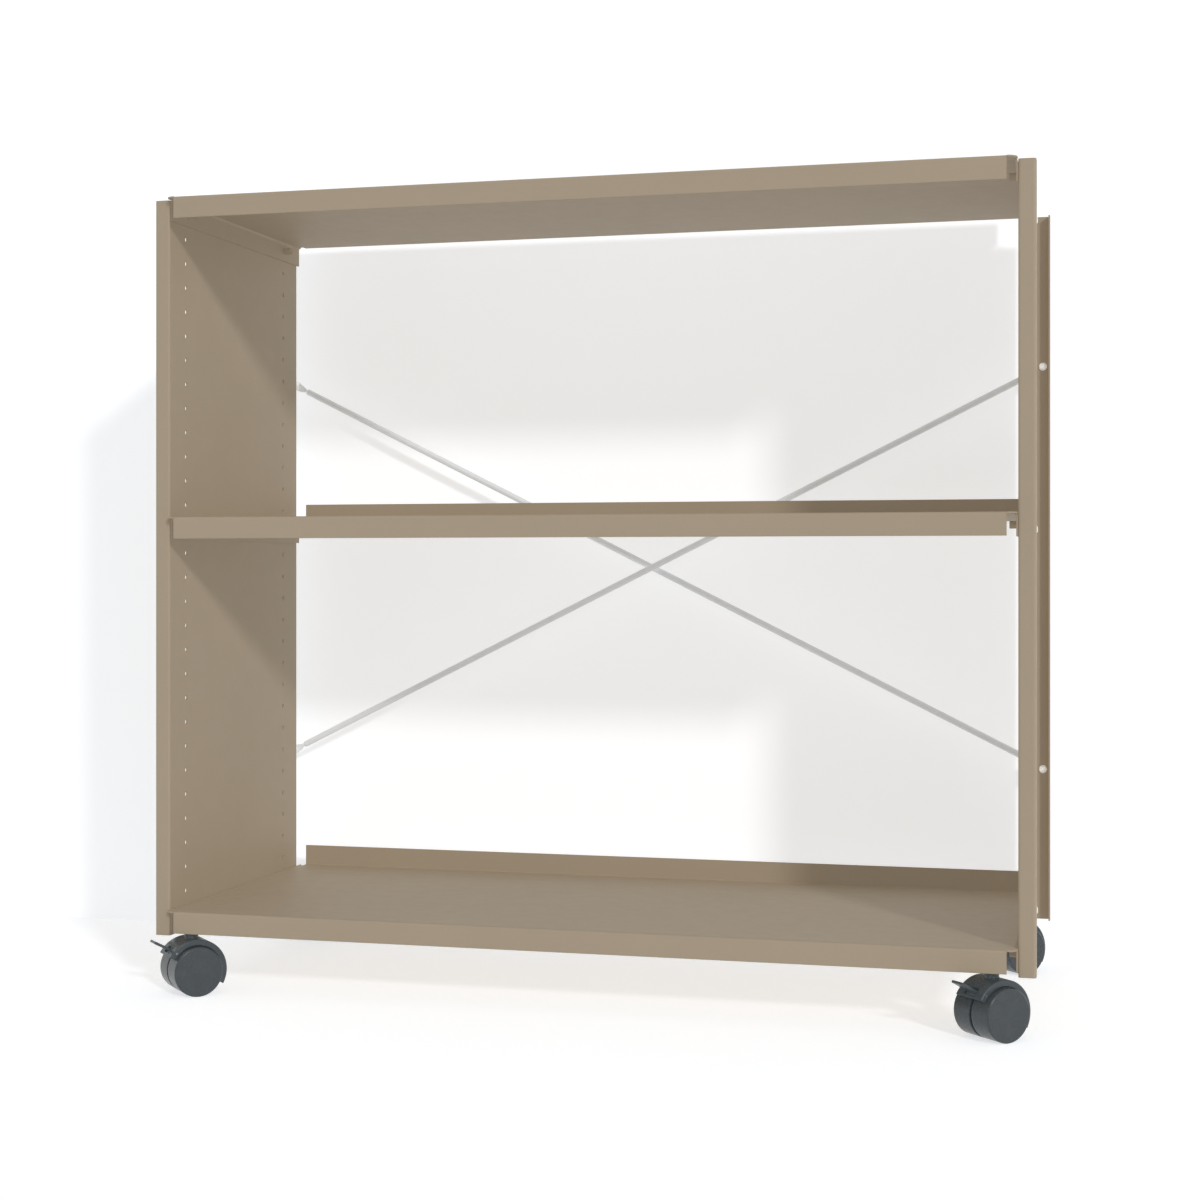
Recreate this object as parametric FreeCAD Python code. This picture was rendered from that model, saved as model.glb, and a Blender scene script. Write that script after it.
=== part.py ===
import FreeCAD, Part
import math
import os

# Rolling sheet steel bookcase: two channel-shaped side panels carry three tray
# shelves, two crossed rods brace the back, and four twin-wheel casters roll it.
# Millimetres. Origin on the floor at the centre; X to the right, Y to the back,
# Z up. The front looks along -Y.

os.makedirs("parts", exist_ok=True)

V = FreeCAD.Vector
X_AXIS = V(1, 0, 0)
Y_AXIS = V(0, 1, 0)
Z_AXIS = V(0, 0, 1)

# ---- sheet metal ---------------------------------------------------------
sheet = 1.5
bend_inside = 1.0
cut_over = 1.0

# ---- side panels ---------------------------------------------------------
inside_width = 849.0
panel_height = 750.0
panel_bottom = 57.0
panel_top = panel_bottom + panel_height
panel_front = -162.5
panel_back = 165.7
flange_reach = 16.2
return_lip = 13.5

# ---- hole grid in the side panels ----------------------------------------
hole_pitch = 25.0
hole_rows = 30
first_row_drop = 9.6
column_y = 125.0
hole_radius = 2.5

# ---- shelves -------------------------------------------------------------
shelf_gap = 0.35
shelf_front = -174.4
shelf_back = 170.9
shelf_lip = 22.0
shelf_upstand = 22.5
shelf_end_drop = 22.5
shelf_end_bend = 2.5
fixing_drop = 11.2
corner_clear = 9.4
notch_depth = 10.0
flange_front_inset = 13.0
flange_back_inset = 3.4
shelf_rows = {"shelf_top": 0, "shelf_middle": 13, "shelf_bottom": 29}

# ---- fixings -------------------------------------------------------------
screw_radius = 2.4
screw_head_radius = 4.0
screw_head_height = 2.4
screw_tip_setback = 2.0
socket_flat = 2.5
head_slope = 0.4
socket_floor = 0.35
nut_neck_radius = 3.2
nut_body_radius = 3.6
nut_body_length = 8.0
fit_gap = 0.05

# ---- brace ---------------------------------------------------------------
brace_x = 433.0
brace_z_mid = panel_bottom + panel_height / 2
brace_z_half = 215.0
rod_radius = 3.5
rod_neck_radius = 1.6
rod_neck_at = 13.4
neck_overlap = 1.0
eye_width = 8.4
eye_thickness = 3.2
tab_shoulder = 0.55
tab_taper = 0.9
front_rod_y = 178.0
rear_rod_y = 185.7
brace_bolt_radius = 2.5
brace_hole_radius = 2.7
brace_head_radius = 4.2
brace_head_height = 2.6
brace_socket_flat = 3.0
brace_bolt_proud = 1.5
spacer_radius = 4.6
washer_radius = 5.0
washer_thickness = 1.0
hex_nut_flats = 8.0
hex_nut_height = 4.0

# ---- casters -------------------------------------------------------------
caster_x = 400.5
caster_y = 162.5
caster_heading = -46.0
wheel_radius = 25.0
wheel_rim_face = 1.65
wheel_inner_face = 3.2
wheel_recess_radius = 22.9
wheel_outer_face = 24.4
wheel_chamfer = 0.9
axle_radius = 3.0
axle_half_length = 22.0
axle_chamfer = 0.5
axle_end_gap = 0.5
axle_running_gap = 0.08
hood_radius = 31.7
hood_wall = 2.2
hood_half_width = 17.7
hood_chamfer = 0.7
cheek_inner_radius = 26.0
hood_tail_angle = -28.5
hood_front_angle = 150.0
hub_half_thickness = 2.5
hub_radius = 22.0
web_half_thickness = 1.2
web_post_half = 9.0
neck_radius = 7.0
neck_bottom = 51.3
neck_top = 64.0
stem_radius = 4.0
stem_bottom = 53.7
stem_end_gap = 0.3
stem_running_gap = 0.08
collar_flats = 14.0
collar_bottom = 64.4
collar_top = 67.4
stud_radius = 5.0
stud_end_gap = 0.5
boss_radius = 8.2
mount_thickness = 2.5
mount_inward = 34.0
mount_outward = 14.0
mount_edge = 8.0
mount_depth = 36.0

# ---- brake lever ---------------------------------------------------------
lever_half_width = 7.3
lever_thickness = 2.6
lever_tip_radius = 0.8
lever_root = V(0, -19.5, 20.8)
lever_tip = V(0, -39.8, 31.7)
pin_y = -20.6
pin_z = 19.2
pin_radius = 1.2
pin_half_length = 17.4
lever_hub_radius = 2.4
cam_reach = 2.85
cam_radius = 0.6
cam_lead = 20.0
slot_half_width = 7.8
slot_back_angle = 131.0
slot_front_angle = 144.5


def row_height(row):
    """Height of a hole row, counted downward from the top row."""
    return panel_top - first_row_drop - hole_pitch * row


def along(direction, base, radius, length):
    """Cylinder of a given length that starts at base."""
    return Part.makeCylinder(radius, length, base, direction)


def bent_strip(corners, thickness, inside_radius):
    """Face of a bent sheet section; corners lie on the middle of the sheet."""
    half = thickness / 2
    middle_radius = inside_radius + half
    count = len(corners)
    left_side = []
    right_side = []
    for i in range(count):
        here = corners[i]
        if i == 0 or i == count - 1:
            neighbour = corners[1] if i == 0 else corners[-2]
            run = neighbour.sub(here) if i == 0 else here.sub(neighbour)
            run.normalize()
            normal = V(-run.y, run.x, 0)
            left_side.append([here + normal * half])
            right_side.append([here - normal * half])
            continue
        run_in = here.sub(corners[i - 1])
        run_out = corners[i + 1].sub(here)
        run_in.normalize()
        run_out.normalize()
        turn = math.atan2(run_in.x * run_out.y - run_in.y * run_out.x, run_in.dot(run_out))
        setback = middle_radius * math.tan(abs(turn) / 2)
        normal_in = V(-run_in.y, run_in.x, 0)
        normal_out = V(-run_out.y, run_out.x, 0)
        bend_start = here - run_in * setback
        bend_end = here + run_out * setback
        side = 1 if turn > 0 else -1
        centre = bend_start + normal_in * (side * middle_radius)
        toward = here.sub(centre)
        toward.normalize()
        for points, offset in ((left_side, half), (right_side, -half)):
            reach = middle_radius - side * offset
            points.append([
                bend_start + normal_in * offset,
                centre + toward * reach,
                bend_end + normal_out * offset,
            ])
    edges = []
    for points in (left_side, right_side):
        for i in range(count - 1):
            edges.append(Part.makeLine(points[i][-1], points[i + 1][0]))
            if len(points[i + 1]) == 3:
                edges.append(Part.Arc(*points[i + 1]).toShape())
    edges.append(Part.makeLine(left_side[0][0], right_side[0][0]))
    edges.append(Part.makeLine(left_side[-1][-1], right_side[-1][-1]))
    return Part.Face(Part.Wire(Part.__sortEdges__(edges)))


def hexagon(flats, height, base, direction):
    """Hexagonal bar measured across its flats."""
    corner = flats / math.sqrt(3)
    points = [V(corner * math.cos(math.radians(60 * i)), corner * math.sin(math.radians(60 * i)), 0)
              for i in range(7)]
    bar = Part.Face(Part.makePolygon(points)).extrude(V(0, 0, height))
    bar.Placement = FreeCAD.Placement(base, FreeCAD.Rotation(Z_AXIS, direction))
    return bar


def button_screw(head_seat, direction, head_radius, head_height, shank_radius, length, flats):
    """Round-head socket screw; direction runs from the head into the joint."""
    outward = direction * -1
    head = along(outward, head_seat, head_radius, head_height)
    rim = [edge for edge in head.Edges
           if abs((edge.CenterOfMass - head_seat).dot(outward) - head_height) < 1e-6]
    head = head.makeChamfer(head_height * head_slope, rim)
    shank = along(direction, head_seat, shank_radius, length)
    screw = head.fuse(shank)
    recess = hexagon(flats, head_height, head_seat + outward * (head_height * socket_floor), outward)
    return screw.cut(recess).removeSplitter()


# ---- side panels ---------------------------------------------------------
def side_panel(side):
    """Channel panel with outward flanges and return lips; side is -1 or 1."""
    half = sheet / 2
    web = inside_width / 2 + half
    tip = inside_width / 2 + flange_reach - half
    front = panel_front + half
    back = panel_back - half
    corners = [
        V(tip, front + return_lip - half, 0),
        V(tip, front, 0),
        V(web, front, 0),
        V(web, back, 0),
        V(tip, back, 0),
        V(tip, back - return_lip + half, 0),
    ]
    panel = bent_strip(corners, sheet, bend_inside).extrude(V(0, 0, panel_height))
    panel.translate(V(0, 0, panel_bottom))
    holes = []
    for row in range(hole_rows):
        for y in (-column_y, column_y):
            base = V(inside_width / 2 - cut_over, y, row_height(row))
            holes.append(along(X_AXIS, base, hole_radius, sheet + 2 * cut_over))
    for z in (-brace_z_half, brace_z_half):
        base = V(brace_x, panel_back - sheet - cut_over, brace_z_mid + z)
        holes.append(along(Y_AXIS, base, brace_hole_radius, sheet + 2 * cut_over))
    panel = panel.cut(Part.makeCompound(holes))
    if side < 0:
        panel = panel.mirror(V(0, 0, 0), X_AXIS)
    return panel


# ---- shelves -------------------------------------------------------------
def round_corner(width, depth, radius):
    """Piece of flat sheet with its outer front corner rounded in plan."""
    swing = radius * math.sin(math.radians(45))
    bend = Part.Arc(V(width - radius, 0, 0),
                    V(width - radius + swing, radius - swing, 0),
                    V(width, radius, 0)).toShape()
    sides = Part.makePolygon([V(width, radius, 0), V(width, depth, 0), V(0, depth, 0), V(0, 0, 0)])
    edges = [bend] + sides.Edges
    if width > radius:
        edges.append(Part.makeLine(V(0, 0, 0), V(width - radius, 0, 0)))
    return Part.Face(Part.Wire(edges)).extrude(V(0, 0, sheet))


def shelf(row):
    """Tray shelf: front lip and end flanges turned down, back edge turned up."""
    top = row_height(row) + fixing_drop
    half = sheet / 2
    outer = inside_width / 2 - shelf_gap
    # Front lip, plate and back upstand as one bent strip, drawn as (y, z).
    section = [
        V(shelf_front + half, top - shelf_lip, 0),
        V(shelf_front + half, top - half, 0),
        V(shelf_back - half, top - half, 0),
        V(shelf_back - half, top + shelf_upstand, 0),
    ]
    lengthwise = bent_strip(section, sheet, bend_inside)
    lengthwise.Placement = FreeCAD.Placement(V(0, 0, 0), FreeCAD.Rotation(V(1, 1, 1), 120))
    end_bend = shelf_end_bend + sheet
    flat_half = outer - corner_clear
    lengthwise = lengthwise.extrude(V(2 * flat_half, 0, 0))
    lengthwise.translate(V(-flat_half, 0, 0))
    # Plate and both end flanges as a second strip, drawn as (x, z).
    section = [
        V(-outer + half, top - shelf_end_drop, 0),
        V(-outer + half, top - half, 0),
        V(outer - half, top - half, 0),
        V(outer - half, top - shelf_end_drop, 0),
    ]
    crosswise = bent_strip(section, sheet, shelf_end_bend)
    crosswise.Placement = FreeCAD.Placement(V(0, 0, 0), FreeCAD.Rotation(X_AXIS, 90))
    depth = shelf_back - shelf_front - flange_front_inset - flange_back_inset
    crosswise = crosswise.extrude(V(0, -depth, 0))
    crosswise.translate(V(0, shelf_back - flange_back_inset, 0))
    tray = lengthwise.fuse(crosswise)
    # Round front corners carry the plate past the ends of the lip.
    for side in (-1, 1):
        corner = round_corner(outer - flat_half, flange_front_inset, corner_clear)
        corner.translate(V(flat_half, shelf_front, top - sheet))
        if side < 0:
            corner = corner.mirror(V(0, 0, 0), X_AXIS)
        tray = tray.fuse(corner)
    # Square notches free the upstand from the end flanges at the back.
    notch = Part.makeBox(corner_clear - end_bend, notch_depth + sheet, shelf_upstand + 2 * sheet)
    notch.translate(V(flat_half, shelf_back - notch_depth, top - 2 * sheet))
    tray = tray.cut(notch).cut(notch.mirror(V(0, 0, 0), X_AXIS)).removeSplitter()
    holes = []
    for y in (-column_y, column_y):
        for side in (-1, 1):
            base = V(side * (outer - sheet - cut_over), y, row_height(row))
            holes.append(along(X_AXIS * side, base, nut_neck_radius + fit_gap, sheet + 2 * cut_over))
    return tray.cut(Part.makeCompound(holes))


# ---- shelf fixings -------------------------------------------------------
def shelf_screws():
    """Socket screws driven from outside through the panels."""
    screws = []
    length = sheet + shelf_gap + sheet + nut_body_length - screw_tip_setback
    for row in shelf_rows.values():
        for y in (-column_y, column_y):
            for side in (-1, 1):
                seat = V(side * (inside_width / 2 + sheet), y, row_height(row))
                screws.append(button_screw(seat, X_AXIS * -side, screw_head_radius,
                                           screw_head_height, screw_radius, length, socket_flat))
    return Part.makeCompound(screws)


def shelf_nuts():
    """Rivet nuts set in the end flanges of the shelves."""
    nuts = []
    for row in shelf_rows.values():
        for y in (-column_y, column_y):
            for side in (-1, 1):
                outer = V(side * (inside_width / 2 - shelf_gap), y, row_height(row))
                inward = X_AXIS * -side
                neck = along(inward, outer, nut_neck_radius, sheet)
                body = along(inward, outer + inward * sheet, nut_body_radius, nut_body_length)
                bore = along(inward, outer, screw_radius + fit_gap, sheet + nut_body_length)
                nuts.append(neck.fuse(body).cut(bore).removeSplitter())
    return Part.makeCompound(nuts)


# ---- crossed brace -------------------------------------------------------
def brace_rod(rise):
    """Round rod with necked, flattened eye ends; rise is 1 or -1."""
    half = math.hypot(brace_x, brace_z_half)
    # One half is a turned profile about the rod axis, drawn as (x, y).
    neck = half - rod_neck_at
    shoulder = neck - rod_radius
    slant = math.asin(rod_neck_radius / rod_radius)
    middle = (slant + math.pi / 2) / 2
    outline = [V(shoulder + rod_radius * math.cos(a), rod_radius * math.sin(a), 0)
               for a in (math.pi / 2, middle, slant)]
    round_end = Part.Arc(*outline).toShape()
    flat_side = Part.makePolygon([
        outline[2],
        V(neck + neck_overlap, rod_neck_radius, 0),
        V(neck + neck_overlap, 0, 0),
        V(0, 0, 0),
        V(0, rod_radius, 0),
        outline[0],
    ])
    profile = Part.Face(Part.Wire([round_end] + flat_side.Edges))
    bar = profile.revolve(V(0, 0, 0), X_AXIS, 360)
    # The eye is a flat tab, round at the bolt and drawn to a point at the neck.
    wide = eye_width / 2
    shoulder = half - rod_neck_at * tab_shoulder
    tab = Part.makePolygon([
        V(half, 0, wide),
        V(shoulder, 0, wide * tab_taper),
        V(neck, 0, rod_neck_radius),
        V(neck, 0, -rod_neck_radius),
        V(shoulder, 0, -wide * tab_taper),
        V(half, 0, -wide),
        V(half, 0, wide),
    ])
    tab = Part.Face(tab).extrude(V(0, eye_thickness, 0))
    tab = tab.fuse(along(Y_AXIS, V(half, 0, 0), wide, eye_thickness))
    tab.translate(V(0, -eye_thickness / 2, 0))
    end = bar.fuse(tab)
    hole = along(Y_AXIS, V(half, -eye_thickness, 0), brace_hole_radius, 2 * eye_thickness)
    end = end.cut(hole)
    rod = end.fuse(end.mirror(V(0, 0, 0), X_AXIS)).removeSplitter()
    rod.rotate(V(0, 0, 0), Y_AXIS, -rise * math.degrees(math.atan2(brace_z_half, brace_x)))
    y = front_rod_y if rise > 0 else rear_rod_y
    rod.translate(V(0, y, brace_z_mid))
    return rod


def brace_corners():
    """The four bolt places with the height of the rod that ends there."""
    places = []
    for side in (-1, 1):
        for rise in (-1, 1):
            y = front_rod_y if side * rise > 0 else rear_rod_y
            places.append((V(side * brace_x, 0, brace_z_mid + rise * brace_z_half), y))
    return places


def brace_spacers():
    """Sleeves that hold the rods clear of the shelf upstands."""
    sleeves = []
    for place, rod_y in brace_corners():
        length = rod_y - eye_thickness / 2 - panel_back
        base = V(place.x, panel_back, place.z)
        sleeve = along(Y_AXIS, base, spacer_radius, length)
        sleeves.append(sleeve.cut(along(Y_AXIS, base, brace_hole_radius, length)))
    return Part.makeCompound(sleeves)


def brace_bolts():
    """Round-head bolts that enter through the back flanges."""
    bolts = []
    for place, rod_y in brace_corners():
        seat = V(place.x, panel_back - sheet, place.z)
        reach = rod_y + eye_thickness / 2 + washer_thickness + hex_nut_height + brace_bolt_proud
        bolts.append(button_screw(seat, Y_AXIS, brace_head_radius, brace_head_height,
                                  brace_bolt_radius, reach - seat.y, brace_socket_flat))
    return Part.makeCompound(bolts)


def brace_nuts():
    """A washer and a hexagon nut behind each rod eye."""
    nuts = []
    for place, rod_y in brace_corners():
        seat = V(place.x, rod_y + eye_thickness / 2, place.z)
        washer = along(Y_AXIS, seat, washer_radius, washer_thickness)
        nut = hexagon(hex_nut_flats, hex_nut_height, seat + Y_AXIS * washer_thickness, Y_AXIS)
        length = washer_thickness + hex_nut_height
        bore = along(Y_AXIS, seat, brace_bolt_radius + fit_gap, length)
        nuts.append(washer.fuse(nut).cut(bore).removeSplitter())
    return Part.makeCompound(nuts)


# ---- caster mounts -------------------------------------------------------
shelf_underside = row_height(shelf_rows["shelf_bottom"]) + fixing_drop - sheet


def caster_mounts():
    """Corner plates with threaded bosses under the bottom shelf."""
    mounts = []
    for side_x in (-1, 1):
        for side_y in (-1, 1):
            plate = Part.makeBox(mount_inward + mount_outward, mount_depth, mount_thickness)
            plate.translate(V(-mount_inward, mount_edge - mount_depth, 0))
            if side_x < 0:
                plate = plate.mirror(V(0, 0, 0), X_AXIS)
            if side_y < 0:
                plate = plate.mirror(V(0, 0, 0), Y_AXIS)
            plate.translate(V(side_x * caster_x, side_y * caster_y, shelf_underside - mount_thickness))
            centre = V(side_x * caster_x, side_y * caster_y, collar_top)
            boss = along(Z_AXIS, centre, boss_radius, shelf_underside - mount_thickness - collar_top)
            bore = along(Z_AXIS, centre, stud_radius + fit_gap, shelf_underside - collar_top)
            mounts.append(plate.fuse(boss).cut(bore).removeSplitter())
    return Part.makeCompound(mounts)


def caster_stems():
    """Threaded stems: stud above, hexagon collar, swivel pin below."""
    stems = []
    for side_x in (-1, 1):
        for side_y in (-1, 1):
            foot = V(side_x * caster_x, side_y * caster_y, stem_bottom)
            pin = along(Z_AXIS, foot, stem_radius, collar_bottom - stem_bottom)
            collar_base = V(foot.x, foot.y, collar_bottom)
            collar = hexagon(collar_flats, collar_top - collar_bottom, collar_base, Z_AXIS)
            stud_base = V(foot.x, foot.y, collar_top)
            stud = along(Z_AXIS, stud_base, stud_radius, shelf_underside - collar_top - stud_end_gap)
            stems.append(pin.fuse(collar).fuse(stud).removeSplitter())
    return Part.makeCompound(stems)


# ---- one caster, drawn with its axle along X over the origin -------------
hub = V(0, 0, wheel_radius)


def caster_hood():
    """Fender over both wheels, with the web that carries axle and stem."""
    inner = hood_radius - hood_wall
    wide = hood_half_width
    thin = hood_half_width - hood_wall
    half_section = [
        V(wide - hood_chamfer, hood_radius, 0),
        V(wide, hood_radius - hood_chamfer, 0),
        V(wide, cheek_inner_radius, 0),
        V(thin, cheek_inner_radius, 0),
        V(thin, inner, 0),
    ]
    opposite = [V(-point.x, point.y, 0) for point in reversed(half_section)]
    fender = Part.Face(Part.makePolygon(half_section + opposite + half_section[:1]))
    fender.rotate(V(0, 0, 0), X_AXIS, hood_tail_angle)
    fender = fender.revolve(V(0, 0, 0), X_AXIS, hood_front_angle - hood_tail_angle)
    # Window for the brake lever between two radial planes.
    window = Part.makeCylinder(hood_radius + cut_over, 2 * slot_half_width,
                               V(-slot_half_width, 0, 0), X_AXIS, slot_front_angle - slot_back_angle)
    window.rotate(V(0, 0, 0), X_AXIS, slot_back_angle - 90)
    fender = fender.cut(window)
    disc = along(X_AXIS, V(-hub_half_thickness, 0, 0), hub_radius, 2 * hub_half_thickness)
    post = Part.makeBox(2 * web_half_thickness, 2 * web_post_half, inner + hood_wall / 2)
    post.translate(V(-web_half_thickness, -web_post_half, 0))
    body = fender.fuse(disc).fuse(post)
    body.translate(hub)
    body = body.fuse(along(Z_AXIS, V(0, 0, neck_bottom), neck_radius, neck_top - neck_bottom))
    swivel_bore = along(Z_AXIS, V(0, 0, stem_bottom - stem_end_gap),
                        stem_radius + stem_running_gap, neck_top - stem_bottom + cut_over)
    axle_bore = along(X_AXIS, hub - X_AXIS * (hub_half_thickness + cut_over), axle_radius,
                      2 * (hub_half_thickness + cut_over))
    pin_bore = along(X_AXIS, V(-hood_half_width - cut_over, pin_y, wheel_radius + pin_z),
                     pin_radius, 2 * (hood_half_width + cut_over))
    for bore in (swivel_bore, axle_bore, pin_bore):
        body = body.cut(bore)
    return body.removeSplitter()


def caster_axle():
    """Steel pin pressed through the web."""
    axle = along(X_AXIS, hub - X_AXIS * axle_half_length, axle_radius, 2 * axle_half_length)
    return axle.makeChamfer(axle_chamfer, [edge for edge in axle.Edges if edge.Closed])


def caster_wheel(side):
    """Wheel with a closed outer face, a blind bore and a recessed inner face."""
    inner = wheel_inner_face
    rim = wheel_rim_face
    outer = wheel_outer_face
    bore = axle_radius + axle_running_gap
    bore_end = axle_half_length + axle_end_gap
    outline = [
        V(inner, bore, 0),
        V(inner, wheel_recess_radius, 0),
        V(rim, wheel_recess_radius, 0),
        V(rim, wheel_radius, 0),
        V(outer - wheel_chamfer, wheel_radius, 0),
        V(outer, wheel_radius - wheel_chamfer, 0),
        V(outer, 0, 0),
        V(bore_end, 0, 0),
        V(bore_end, bore, 0),
        V(inner, bore, 0),
    ]
    wheel = Part.Face(Part.makePolygon(outline)).revolve(V(0, 0, 0), X_AXIS, 360)
    if side < 0:
        wheel = wheel.mirror(V(0, 0, 0), X_AXIS)
    wheel.translate(hub)
    return wheel


def brake_lever():
    """Foot lever on a cross pin; its cam turns toward the treads when pressed."""
    run = lever_tip.sub(lever_root)
    run.normalize()
    down = V(0, -run.z, run.y)
    blade = Part.makePolygon([
        lever_root,
        lever_tip,
        lever_tip + down * lever_thickness,
        lever_root + down * lever_thickness,
        lever_root,
    ])
    width = V(2 * lever_half_width, 0, 0)
    blade = Part.Face(blade).extrude(width)
    tip_edges = [edge for edge in blade.Edges
                 if abs(edge.CenterOfMass.y - lever_tip.y) < lever_thickness / 2
                 and edge.Length > lever_half_width]
    blade = blade.makeFillet(lever_tip_radius, tip_edges)
    centre = V(0, pin_y, pin_z)
    knuckle = along(X_AXIS, centre, lever_hub_radius, width.x)
    to_axle = math.atan2(-pin_z, -pin_y)
    lobe_angle = to_axle - math.radians(cam_lead)
    lobe_centre = centre + V(0, math.cos(lobe_angle), math.sin(lobe_angle)) * (cam_reach - cam_radius)
    lobe = along(X_AXIS, lobe_centre, cam_radius, width.x)
    lever = blade.fuse(knuckle).fuse(lobe)
    lever = lever.cut(along(X_AXIS, centre, pin_radius + fit_gap, width.x))
    lever.translate(hub - width * 0.5)
    return lever.removeSplitter()


def lever_pin():
    """Cross pin of the brake lever, held in the cheeks of the hood."""
    base = V(-pin_half_length, pin_y, wheel_radius + pin_z)
    return along(X_AXIS, base, pin_radius, 2 * pin_half_length)


def place_caster(shape, corner_x, corner_y):
    """Turn a caster part to the shared heading and set it under its stem."""
    placed = shape.copy()
    placed.rotate(V(0, 0, 0), Z_AXIS, caster_heading)
    placed.translate(V(corner_x * caster_x, corner_y * caster_y, 0))
    return placed


nodes = {
    "side_panel_left": side_panel(-1),
    "side_panel_right": side_panel(1),
    "shelf_screws": shelf_screws(),
    "shelf_nuts": shelf_nuts(),
    "brace_rod_front": brace_rod(1),
    "brace_rod_rear": brace_rod(-1),
    "brace_spacers": brace_spacers(),
    "brace_bolts": brace_bolts(),
    "brace_nuts": brace_nuts(),
    "caster_mounts": caster_mounts(),
    "caster_stems": caster_stems(),
}
for name, row in shelf_rows.items():
    nodes[name] = shelf(row)

caster_parts = {
    "caster_hood": caster_hood(),
    "caster_axle": caster_axle(),
    "wheel_a": caster_wheel(1),
    "wheel_b": caster_wheel(-1),
    "brake_lever": brake_lever(),
    "lever_pin": lever_pin(),
}
corners = {
    "front_left": (-1, -1),
    "front_right": (1, -1),
    "rear_left": (-1, 1),
    "rear_right": (1, 1),
}
for corner, (corner_x, corner_y) in corners.items():
    for part, shape in caster_parts.items():
        nodes[part + "_" + corner] = place_caster(shape, corner_x, corner_y)

for name, shape in nodes.items():
    shape.exportStep("parts/" + name + ".step")
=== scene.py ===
import math

import bmesh
import bpy
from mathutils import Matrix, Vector


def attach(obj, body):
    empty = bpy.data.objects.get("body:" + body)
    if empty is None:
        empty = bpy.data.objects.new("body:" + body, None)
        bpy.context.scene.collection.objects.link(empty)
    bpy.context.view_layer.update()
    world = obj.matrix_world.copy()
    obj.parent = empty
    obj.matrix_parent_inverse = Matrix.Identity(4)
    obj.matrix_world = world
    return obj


# Camera, looks and light of a rolling bookcase, in metres.
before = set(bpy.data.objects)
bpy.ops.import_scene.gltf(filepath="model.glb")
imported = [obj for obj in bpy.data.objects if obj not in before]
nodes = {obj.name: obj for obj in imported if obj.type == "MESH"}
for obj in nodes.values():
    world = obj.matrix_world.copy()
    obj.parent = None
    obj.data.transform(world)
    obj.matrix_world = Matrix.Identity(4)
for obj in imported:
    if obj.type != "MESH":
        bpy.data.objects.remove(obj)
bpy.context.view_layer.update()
scene = bpy.context.scene

# ---- camera ----------------------------------------------------------------
# The lens, the place and the turn come from the photograph's straight edges and hole grid.
# The focal length and the horizon are in its pixels, and the turn is in degrees.
PHOTO_WIDTH = 1200
FOCAL_PIXELS = 2047.35
HORIZON_ABOVE_MIDDLE = 33.155
SENSOR_MM = 36.0
CAMERA_AT = (0.52685, -2.0725, 0.4331)
CAMERA_TURN = 14.611
camera_data = bpy.data.cameras.new("photo_camera")
camera_data.sensor_width = SENSOR_MM
camera_data.lens = FOCAL_PIXELS * SENSOR_MM / PHOTO_WIDTH
camera_data.shift_y = -HORIZON_ABOVE_MIDDLE / PHOTO_WIDTH
camera_data.clip_start = 0.05
camera = bpy.data.objects.new("photo_camera", camera_data)
camera.location = CAMERA_AT
camera.rotation_euler = (math.radians(90), 0, math.radians(CAMERA_TURN))
scene.collection.objects.link(camera)
scene.camera = camera

scene.view_settings.view_transform = "Standard"


# ---- material tools --------------------------------------------------------
# Colours are eight-bit screen values. Noise scales count features in a metre.
def linear(rgb):
    """Eight-bit screen colour as linear light, by the sRGB curve, with full alpha."""
    out = []
    for value in rgb:
        value = min(value, 255) / 255
        out.append(value / 12.92 if value <= 0.04045 else ((value + 0.055) / 1.055) ** 2.4)
    return (*out, 1.0)


def new_material(name):
    """Node material with its tree, shader and object coordinates at hand."""
    material = bpy.data.materials.new(name)
    material.use_nodes = True
    tree = material.node_tree
    shader = tree.nodes["Principled BSDF"]
    place = tree.nodes.new("ShaderNodeTexCoord").outputs["Object"]
    return material, tree, shader, place


def noise(tree, place, scale, detail, roughness=0.55):
    """Noise value over the object's own coordinates."""
    node = tree.nodes.new("ShaderNodeTexNoise")
    node.inputs["Scale"].default_value = scale
    node.inputs["Detail"].default_value = detail
    node.inputs["Roughness"].default_value = roughness
    tree.links.new(place, node.inputs["Vector"])
    return node.outputs["Fac"]


def spread(tree, value, within, onto):
    """Map a value from one range onto another, held at the ends."""
    node = tree.nodes.new("ShaderNodeMapRange")
    node.inputs["From Min"].default_value = within[0]
    node.inputs["From Max"].default_value = within[1]
    node.inputs["To Min"].default_value = onto[0]
    node.inputs["To Max"].default_value = onto[1]
    tree.links.new(value, node.inputs["Value"])
    return node.outputs["Result"]


def blend_colours(tree, factor, first, second):
    """Mix two colours by a factor socket; each is a value or a socket."""
    node = tree.nodes.new("ShaderNodeMix")
    node.data_type = "RGBA"
    tree.links.new(factor, node.inputs["Factor"])
    for socket, colour in (("A", first), ("B", second)):
        target = [s for s in node.inputs if s.name == socket and s.type == "RGBA"][0]
        if isinstance(colour, tuple):
            target.default_value = colour
        else:
            tree.links.new(colour, target)
    return [s for s in node.outputs if s.type == "RGBA"][0]


def vary_roughness(tree, shader, value, middle, below, above):
    """Let the roughness wander round its middle with a noise value."""
    haze = spread(tree, value, within=(0.3, 0.7), onto=(middle - below, middle + above))
    tree.links.new(haze, shader.inputs["Roughness"])


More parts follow.
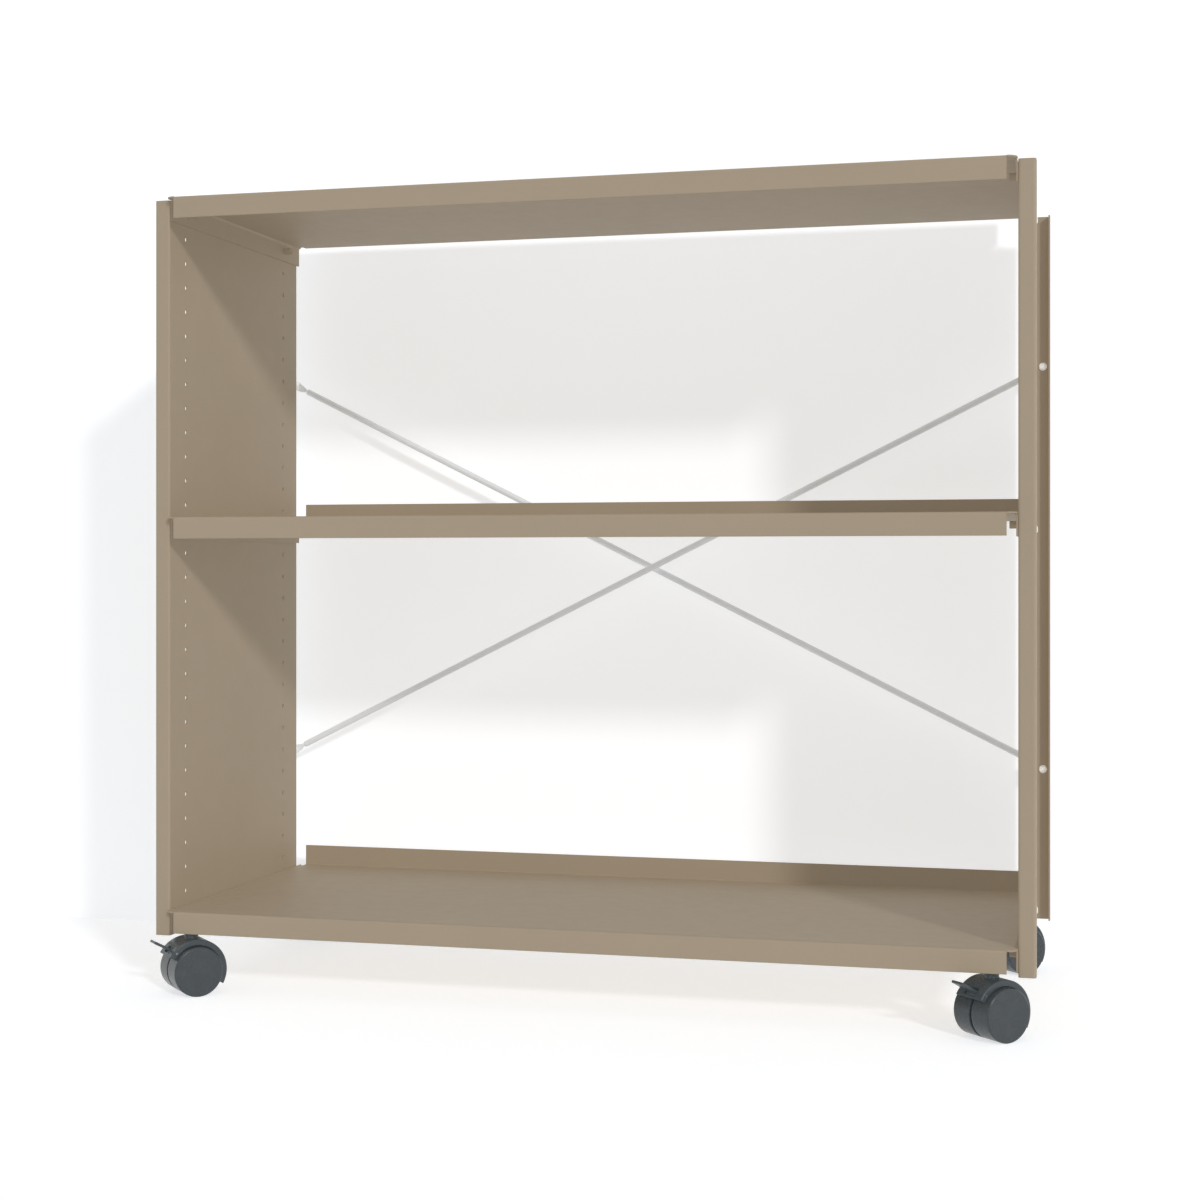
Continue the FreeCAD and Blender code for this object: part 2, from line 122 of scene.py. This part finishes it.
def add_bump(tree, shader, height, distance, strength, edge_radius):
    """Surface relief over edges that are rounded in the shading."""
    bump = tree.nodes.new("ShaderNodeBump")
    bump.inputs["Distance"].default_value = distance
    bump.inputs["Strength"].default_value = strength
    tree.links.new(height, bump.inputs["Height"])
    bevel = tree.nodes.new("ShaderNodeBevel")
    bevel.samples = 6
    bevel.inputs["Radius"].default_value = edge_radius
    tree.links.new(bevel.outputs["Normal"], bump.inputs["Normal"])
    tree.links.new(bump.outputs["Normal"], shader.inputs["Normal"])


# ---- materials -------------------------------------------------------------
# Shares of a finish's own colour that its clouds, dust and scuffs show.
CLOUD_SHADE = 0.984
DUST_SHADE = 1.015
SCUFF_SHADE = 1.16
SCUFF_LIFT = 4


def powder_coat(name, colour, roughness=0.56):
    """Baked powder paint: orange peel, faint clouding and a trace of dust."""
    material, tree, shader, place = new_material(name)
    darker = linear([value * CLOUD_SHADE for value in colour])
    lighter = linear([value * DUST_SHADE for value in colour])
    clouds = spread(tree, noise(tree, place, scale=5.5, detail=4), within=(0.35, 0.65), onto=(0, 1))
    tone = blend_colours(tree, clouds, darker, linear(colour))
    dust = spread(tree, noise(tree, place, scale=900, detail=2), within=(0.4, 0.75), onto=(0, 0.6))
    tree.links.new(blend_colours(tree, dust, tone, lighter), shader.inputs["Base Color"])
    haze = noise(tree, place, scale=60, detail=5)
    vary_roughness(tree, shader, haze, roughness, below=0.03, above=0.04)
    shader.inputs["Specular IOR Level"].default_value = 0.2
    peel = noise(tree, place, scale=620, detail=2, roughness=0.5)
    add_bump(tree, shader, peel, distance=0.00006, strength=0.35, edge_radius=0.0008)
    return material


def moulded_plastic(name, colour, roughness, edge_radius):
    """Dark moulded plastic with spark-eroded grain and light scuffs."""
    material, tree, shader, place = new_material(name)
    scuffed = linear([value * SCUFF_SHADE + SCUFF_LIFT for value in colour])
    rub = noise(tree, place, scale=90, detail=4, roughness=0.6)
    patches = spread(tree, rub, within=(0.45, 0.8), onto=(0, 0.4))
    tone = blend_colours(tree, patches, linear(colour), scuffed)
    tree.links.new(tone, shader.inputs["Base Color"])
    haze = noise(tree, place, scale=110, detail=3)
    vary_roughness(tree, shader, haze, roughness, below=0.05, above=0.08)
    shader.inputs["Specular IOR Level"].default_value = 0.34
    grain = noise(tree, place, scale=1300, detail=2)
    add_bump(tree, shader, grain, distance=0.00003, strength=0.22, edge_radius=edge_radius)
    return material


def plated_metal(name, colour, roughness, metallic=1.0, streak=1800, tarnish=0.82):
    """Bright metal with drawn or turned streaks and a faint tarnish."""
    material, tree, shader, place = new_material(name)
    dull = linear([value * tarnish for value in colour])
    cloud = spread(tree, noise(tree, place, scale=90, detail=4), within=(0.45, 0.75), onto=(0, 0.7))
    tree.links.new(blend_colours(tree, cloud, linear(colour), dull), shader.inputs["Base Color"])
    shader.inputs["Metallic"].default_value = metallic
    haze = noise(tree, place, scale=130, detail=3)
    vary_roughness(tree, shader, haze, roughness, below=0.05, above=0.1)
    lines = noise(tree, place, scale=streak, detail=3)
    add_bump(tree, shader, lines, distance=0.00003, strength=0.3, edge_radius=0.0003)
    return material


paint = powder_coat("powder_coat_beige", (158, 144, 124))
rod_coat = plated_metal("coated_rod", (226, 229, 232), 0.42, metallic=0, streak=500, tarnish=0.97)
bright = plated_metal("bright_zinc", (250, 250, 248), 0.26, metallic=0.3, tarnish=0.96)
turned = plated_metal("turned_steel", (150, 152, 154), 0.36)
hood_plastic = moulded_plastic("hood_plastic", (62, 69, 72), 0.27, edge_radius=0.0008)
wheel_plastic = moulded_plastic("wheel_plastic", (60, 65, 68), 0.27, edge_radius=0.0018)

# The first start that fits a node's name gives its finish, so longer starts come first.
finish_of = {
    "side_panel": paint,
    "shelf_screws": bright,
    "shelf": paint,
    "brace_rod": rod_coat,
    "brace": bright,
    "caster_mounts": paint,
    "caster_stems": turned,
    "caster_hood": hood_plastic,
    "caster_axle": turned,
    "wheel": wheel_plastic,
    "brake_lever": hood_plastic,
    "lever_pin": turned,
}
for name, node in nodes.items():
    for start, material in finish_of.items():
        if name.startswith(start):
            node.data.materials.clear()
            node.data.materials.append(material)
            break

# ---- fasteners in closer detail --------------------------------------------
def part_box(node, belongs=lambda point: True):
    """Low and high corner of those points of a node that belong to one part, or of all."""
    points = [node.matrix_world @ vertex.co for vertex in node.data.vertices]
    mine = [point for point in points if belongs(point)]
    low = Vector([min(point[i] for point in mine) for i in range(3)])
    high = Vector([max(point[i] for point in mine) for i in range(3)])
    return low, high


def add_fastener(name, shape, place):
    """Bright steel piece on the frame, made from a bmesh about its own origin."""
    bmesh.ops.recalc_face_normals(shape, faces=shape.faces)
    mesh = bpy.data.meshes.new(name)
    shape.to_mesh(mesh)
    shape.free()
    mesh.materials.append(bright)
    piece = bpy.data.objects.new(name, mesh)
    piece.location = place
    scene.collection.objects.link(piece)
    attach(piece, "frame")
    return piece


def join_rings(shape, rings, closed):
    """Skin a row of vertex rings; a closed row joins its last ring to its first."""
    following = rings[1:] + rings[:1] if closed else rings[1:]
    for first, second in zip(rings, following):
        for i in range(len(first)):
            j = (i + 1) % len(first)
            shape.faces.new((first[i], first[j], second[j], second[i]))


# Threads on the free ends of the brace bolts. The steps are counted for each turn, and the
# ridge rises and falls over one part in THREAD_FADE of its length.
BOLT_RADIUS = 0.0025
THREAD_PITCH = 0.0008
THREAD_DEPTH = 0.00025
THREAD_BED = 0.00005
THREAD_STOP = 0.0001
THREAD_STEPS = 28
THREAD_FADE = 4
# Shares of the pitch at which the ridge's foot, crest, crest and foot lie.
THREAD_FLANKS = (0.05, 0.42, 0.58, 0.95)


def thread_ridge(name, start, length):
    """Helical ridge round a bolt end that points to +Y, from where the nut ends."""
    shape = bmesh.new()
    root = BOLT_RADIUS - THREAD_BED
    turns = length / THREAD_PITCH - 1
    count = round(turns * THREAD_STEPS)
    rings = []
    for step in range(count + 1):
        angle = 2 * math.pi * turns * step / count
        along = THREAD_PITCH * turns * step / count
        fade = min(1.0, THREAD_FADE * step / count, THREAD_FADE * (count - step) / count)
        crest = root + THREAD_DEPTH * fade
        ring = []
        for reach, share in zip((root, crest, crest, root), THREAD_FLANKS):
            y = along + share * THREAD_PITCH
            ring.append(shape.verts.new((reach * math.cos(angle), y, reach * math.sin(angle))))
        rings.append(ring)
    join_rings(shape, rings, closed=False)
    shape.faces.new(rings[0])
    shape.faces.new(list(reversed(rings[-1])))
    add_fastener(name, shape, start)


nuts = nodes["brace_nuts"]
nuts_low, nuts_high = part_box(nuts)
brace_middle = (nuts_low.z + nuts_high.z) / 2
for side_name, side in (("left", -1), ("right", 1)):
    for level_name, rise in (("low", -1), ("high", 1)):
        def same_corner(point):
            return point.x * side > 0 and (point.z - brace_middle) * rise > 0
        nut_low, nut_high = part_box(nuts, same_corner)
        bolt_end = part_box(nodes["brace_bolts"], same_corner)[1].y
        start = (nut_low + nut_high) / 2
        start.y = nut_high.y
        thread_length = bolt_end - nut_high.y - THREAD_STOP
        thread_ridge("bolt_thread_" + level_name + "_" + side_name, start, thread_length)

# Domed crowns over the plain heads of the shelf screws. Each has an upright rim as high as
# CROWN_WALL, and a hole in the middle that leaves the socket of the head open.
HEAD_HEIGHT = 0.0024
CROWN_RADIUS = 0.0045
CROWN_HEIGHT = 0.0033
CROWN_WALL = 0.0008
CROWN_INSIDE = 0.0034
HOLE_RADIUS = 0.00155
HOLE_RIM = 0.0018
HOLE_FOOT = 0.002
HOLE_TOP = 0.0031
CROWN_STEPS = 36
DOME_STEPS = 6


def screw_crown(name, seat, side):
    """Crown turned about X from a profile of (radius, height) on the panel's outer face."""
    profile = [(CROWN_INSIDE, 0.0), (HOLE_RADIUS, HOLE_FOOT), (HOLE_RADIUS, HOLE_TOP)]
    dome_from = len(profile)
    for step in range(DOME_STEPS + 1):
        turn = math.pi / 2 * step / DOME_STEPS
        radius = HOLE_RIM + (CROWN_RADIUS - HOLE_RIM) * math.sin(turn)
        profile.append((radius, CROWN_WALL + (CROWN_HEIGHT - CROWN_WALL) * math.cos(turn)))
    profile.append((CROWN_RADIUS, 0.0))
    shape = bmesh.new()
    rings = []
    for radius, height in profile:
        ring = []
        for step in range(CROWN_STEPS):
            angle = 2 * math.pi * step / CROWN_STEPS
            y, z = radius * math.cos(angle), radius * math.sin(angle)
            ring.append(shape.verts.new((side * height, y, z)))
        rings.append(ring)
    join_rings(shape, rings, closed=True)
    piece = add_fastener(name, shape, seat)
    dome_to = dome_from + DOME_STEPS
    for face in piece.data.polygons[dome_from * CROWN_STEPS:dome_to * CROWN_STEPS]:
        face.use_smooth = True


screws = nodes["shelf_screws"]
for level_name in ("bottom", "middle", "top"):
    shelf_low, shelf_high = part_box(nodes["shelf_" + level_name])
    for side_name, side in (("left", -1), ("right", 1)):
        for depth_name, depth in (("front", -1), ("back", 1)):
            def same_hole(point):
                level = shelf_low.z <= point.z <= shelf_high.z
                return level and point.x * side > 0 and point.y * depth > 0
            screw_low, screw_high = part_box(screws, same_hole)
            seat = (screw_low + screw_high) / 2
            seat.x = side * (max(abs(screw_low.x), abs(screw_high.x)) - HEAD_HEIGHT)
            place_name = "_".join((level_name, side_name, depth_name))
            screw_crown("screw_crown_" + place_name, seat, side)

# ---- floor and light -------------------------------------------------------
# Light levels are shares of a surface's own colour that a lamp gives when it is faced.
SKY = 0.26
PALE = (0.785, 0.80, 0.82, 1)
FLOOR_GLOW = 0.41
WALL_GLOW = 0.33
KEY_LEVEL = 0.37
KEY_FROM = (0.796, -1.0, 0.537)
KEY_ANGLE = 5.5
FILL_ANGLE = 50
FILLS = {
    "front": ((0, -1, 0), 0.28),
    "back": ((0, 1, 0), 0.28),
    "right": ((1, 0, 0), 0.27),
    "left": ((-1, 0, 0), 0.27),
    "top": ((0, 0, 1), 0.26),
    "floor": ((0, 0, -1), 0.165),
}
BACKDROP_HALF = 60
WALL_AT = 0.212
WALL_HEIGHT = 60


def background_rays(tree):
    """One for camera, glossy and transmission rays, and zero for the rest."""
    path = tree.nodes.new("ShaderNodeLightPath")
    seen = path.outputs["Is Camera Ray"]
    for kind in ("Is Glossy Ray", "Is Transmission Ray"):
        either = tree.nodes.new("ShaderNodeMath")
        either.operation = "MAXIMUM"
        tree.links.new(seen, either.inputs[0])
        tree.links.new(path.outputs[kind], either.inputs[1])
        seen = either.outputs[0]
    return seen


def backdrop(name, corners, glow_level, front_only):
    """Pale plane with a glow of its own that keeps the object's shadow."""
    mesh = bpy.data.meshes.new(name)
    mesh.from_pydata(corners, [], [(0, 1, 2, 3)])
    piece = bpy.data.objects.new(name, mesh)
    scene.collection.objects.link(piece)
    material, tree, shader, place = new_material("pale_" + name)
    shader.inputs["Base Color"].default_value = PALE
    shader.inputs["Roughness"].default_value = 0.9
    shader.inputs["Specular IOR Level"].default_value = 0.0
    glow = tree.nodes.new("ShaderNodeEmission")
    glow.inputs["Color"].default_value = (glow_level, glow_level, glow_level, 1)
    tree.links.new(background_rays(tree), glow.inputs["Strength"])
    both = tree.nodes.new("ShaderNodeAddShader")
    tree.links.new(shader.outputs["BSDF"], both.inputs[0])
    tree.links.new(glow.outputs["Emission"], both.inputs[1])
    surface = both.outputs["Shader"]
    if front_only:
        behind = tree.nodes.new("ShaderNodeNewGeometry").outputs["Backfacing"]
        choice = tree.nodes.new("ShaderNodeMixShader")
        tree.links.new(behind, choice.inputs["Fac"])
        tree.links.new(surface, choice.inputs[1])
        clear = tree.nodes.new("ShaderNodeBsdfTransparent")
        tree.links.new(clear.outputs["BSDF"], choice.inputs[2])
        surface = choice.outputs["Shader"]
    tree.links.new(surface, tree.nodes["Material Output"].inputs["Surface"])
    mesh.materials.append(material)
    return piece


half = BACKDROP_HALF
floor_front = [(-half, -half, 0), (half, -half, 0)]
floor_back = [(half, half, 0), (-half, half, 0)]
backdrop("floor", floor_front + floor_back, FLOOR_GLOW, front_only=False)

# The wall is there for the camera alone, to show the shadow on it, and is clear from behind.
wall_foot = [(-half, WALL_AT, 0), (half, WALL_AT, 0)]
wall_top = [(half, WALL_AT, WALL_HEIGHT), (-half, WALL_AT, WALL_HEIGHT)]
wall = backdrop("wall", wall_foot + wall_top, WALL_GLOW, front_only=True)
wall.visible_diffuse = False
wall.visible_glossy = False
wall.visible_transmission = False
wall.visible_shadow = False

world = bpy.data.worlds.new("studio")
scene.world = world
world.use_nodes = True
tree = world.node_tree
background = tree.nodes["Background"]
background.inputs["Color"].default_value = (1, 1, 1, 1)
level = spread(tree, background_rays(tree), within=(0, 1), onto=(SKY, 1))
tree.links.new(level, background.inputs["Strength"])


def lamp(name, comes_from, level, angle, shadow):
    """Distant soft lamp; a fill casts no shadow, as light from all round would."""
    data = bpy.data.lights.new(name, "SUN")
    data.energy = level * math.pi
    data.angle = math.radians(angle)
    data.use_shadow = shadow
    piece = bpy.data.objects.new(name, data)
    piece.visible_glossy = shadow
    piece.rotation_euler = Vector(comes_from).to_track_quat("Z", "Y").to_euler()
    scene.collection.objects.link(piece)


# The key stands to the right in front, as the shadow lines on the left panel show.
lamp("key", KEY_FROM, KEY_LEVEL, KEY_ANGLE, shadow=True)
for fill_name, (comes_from, fill_level) in FILLS.items():
    lamp("fill_" + fill_name, comes_from, fill_level, FILL_ANGLE, shadow=False)
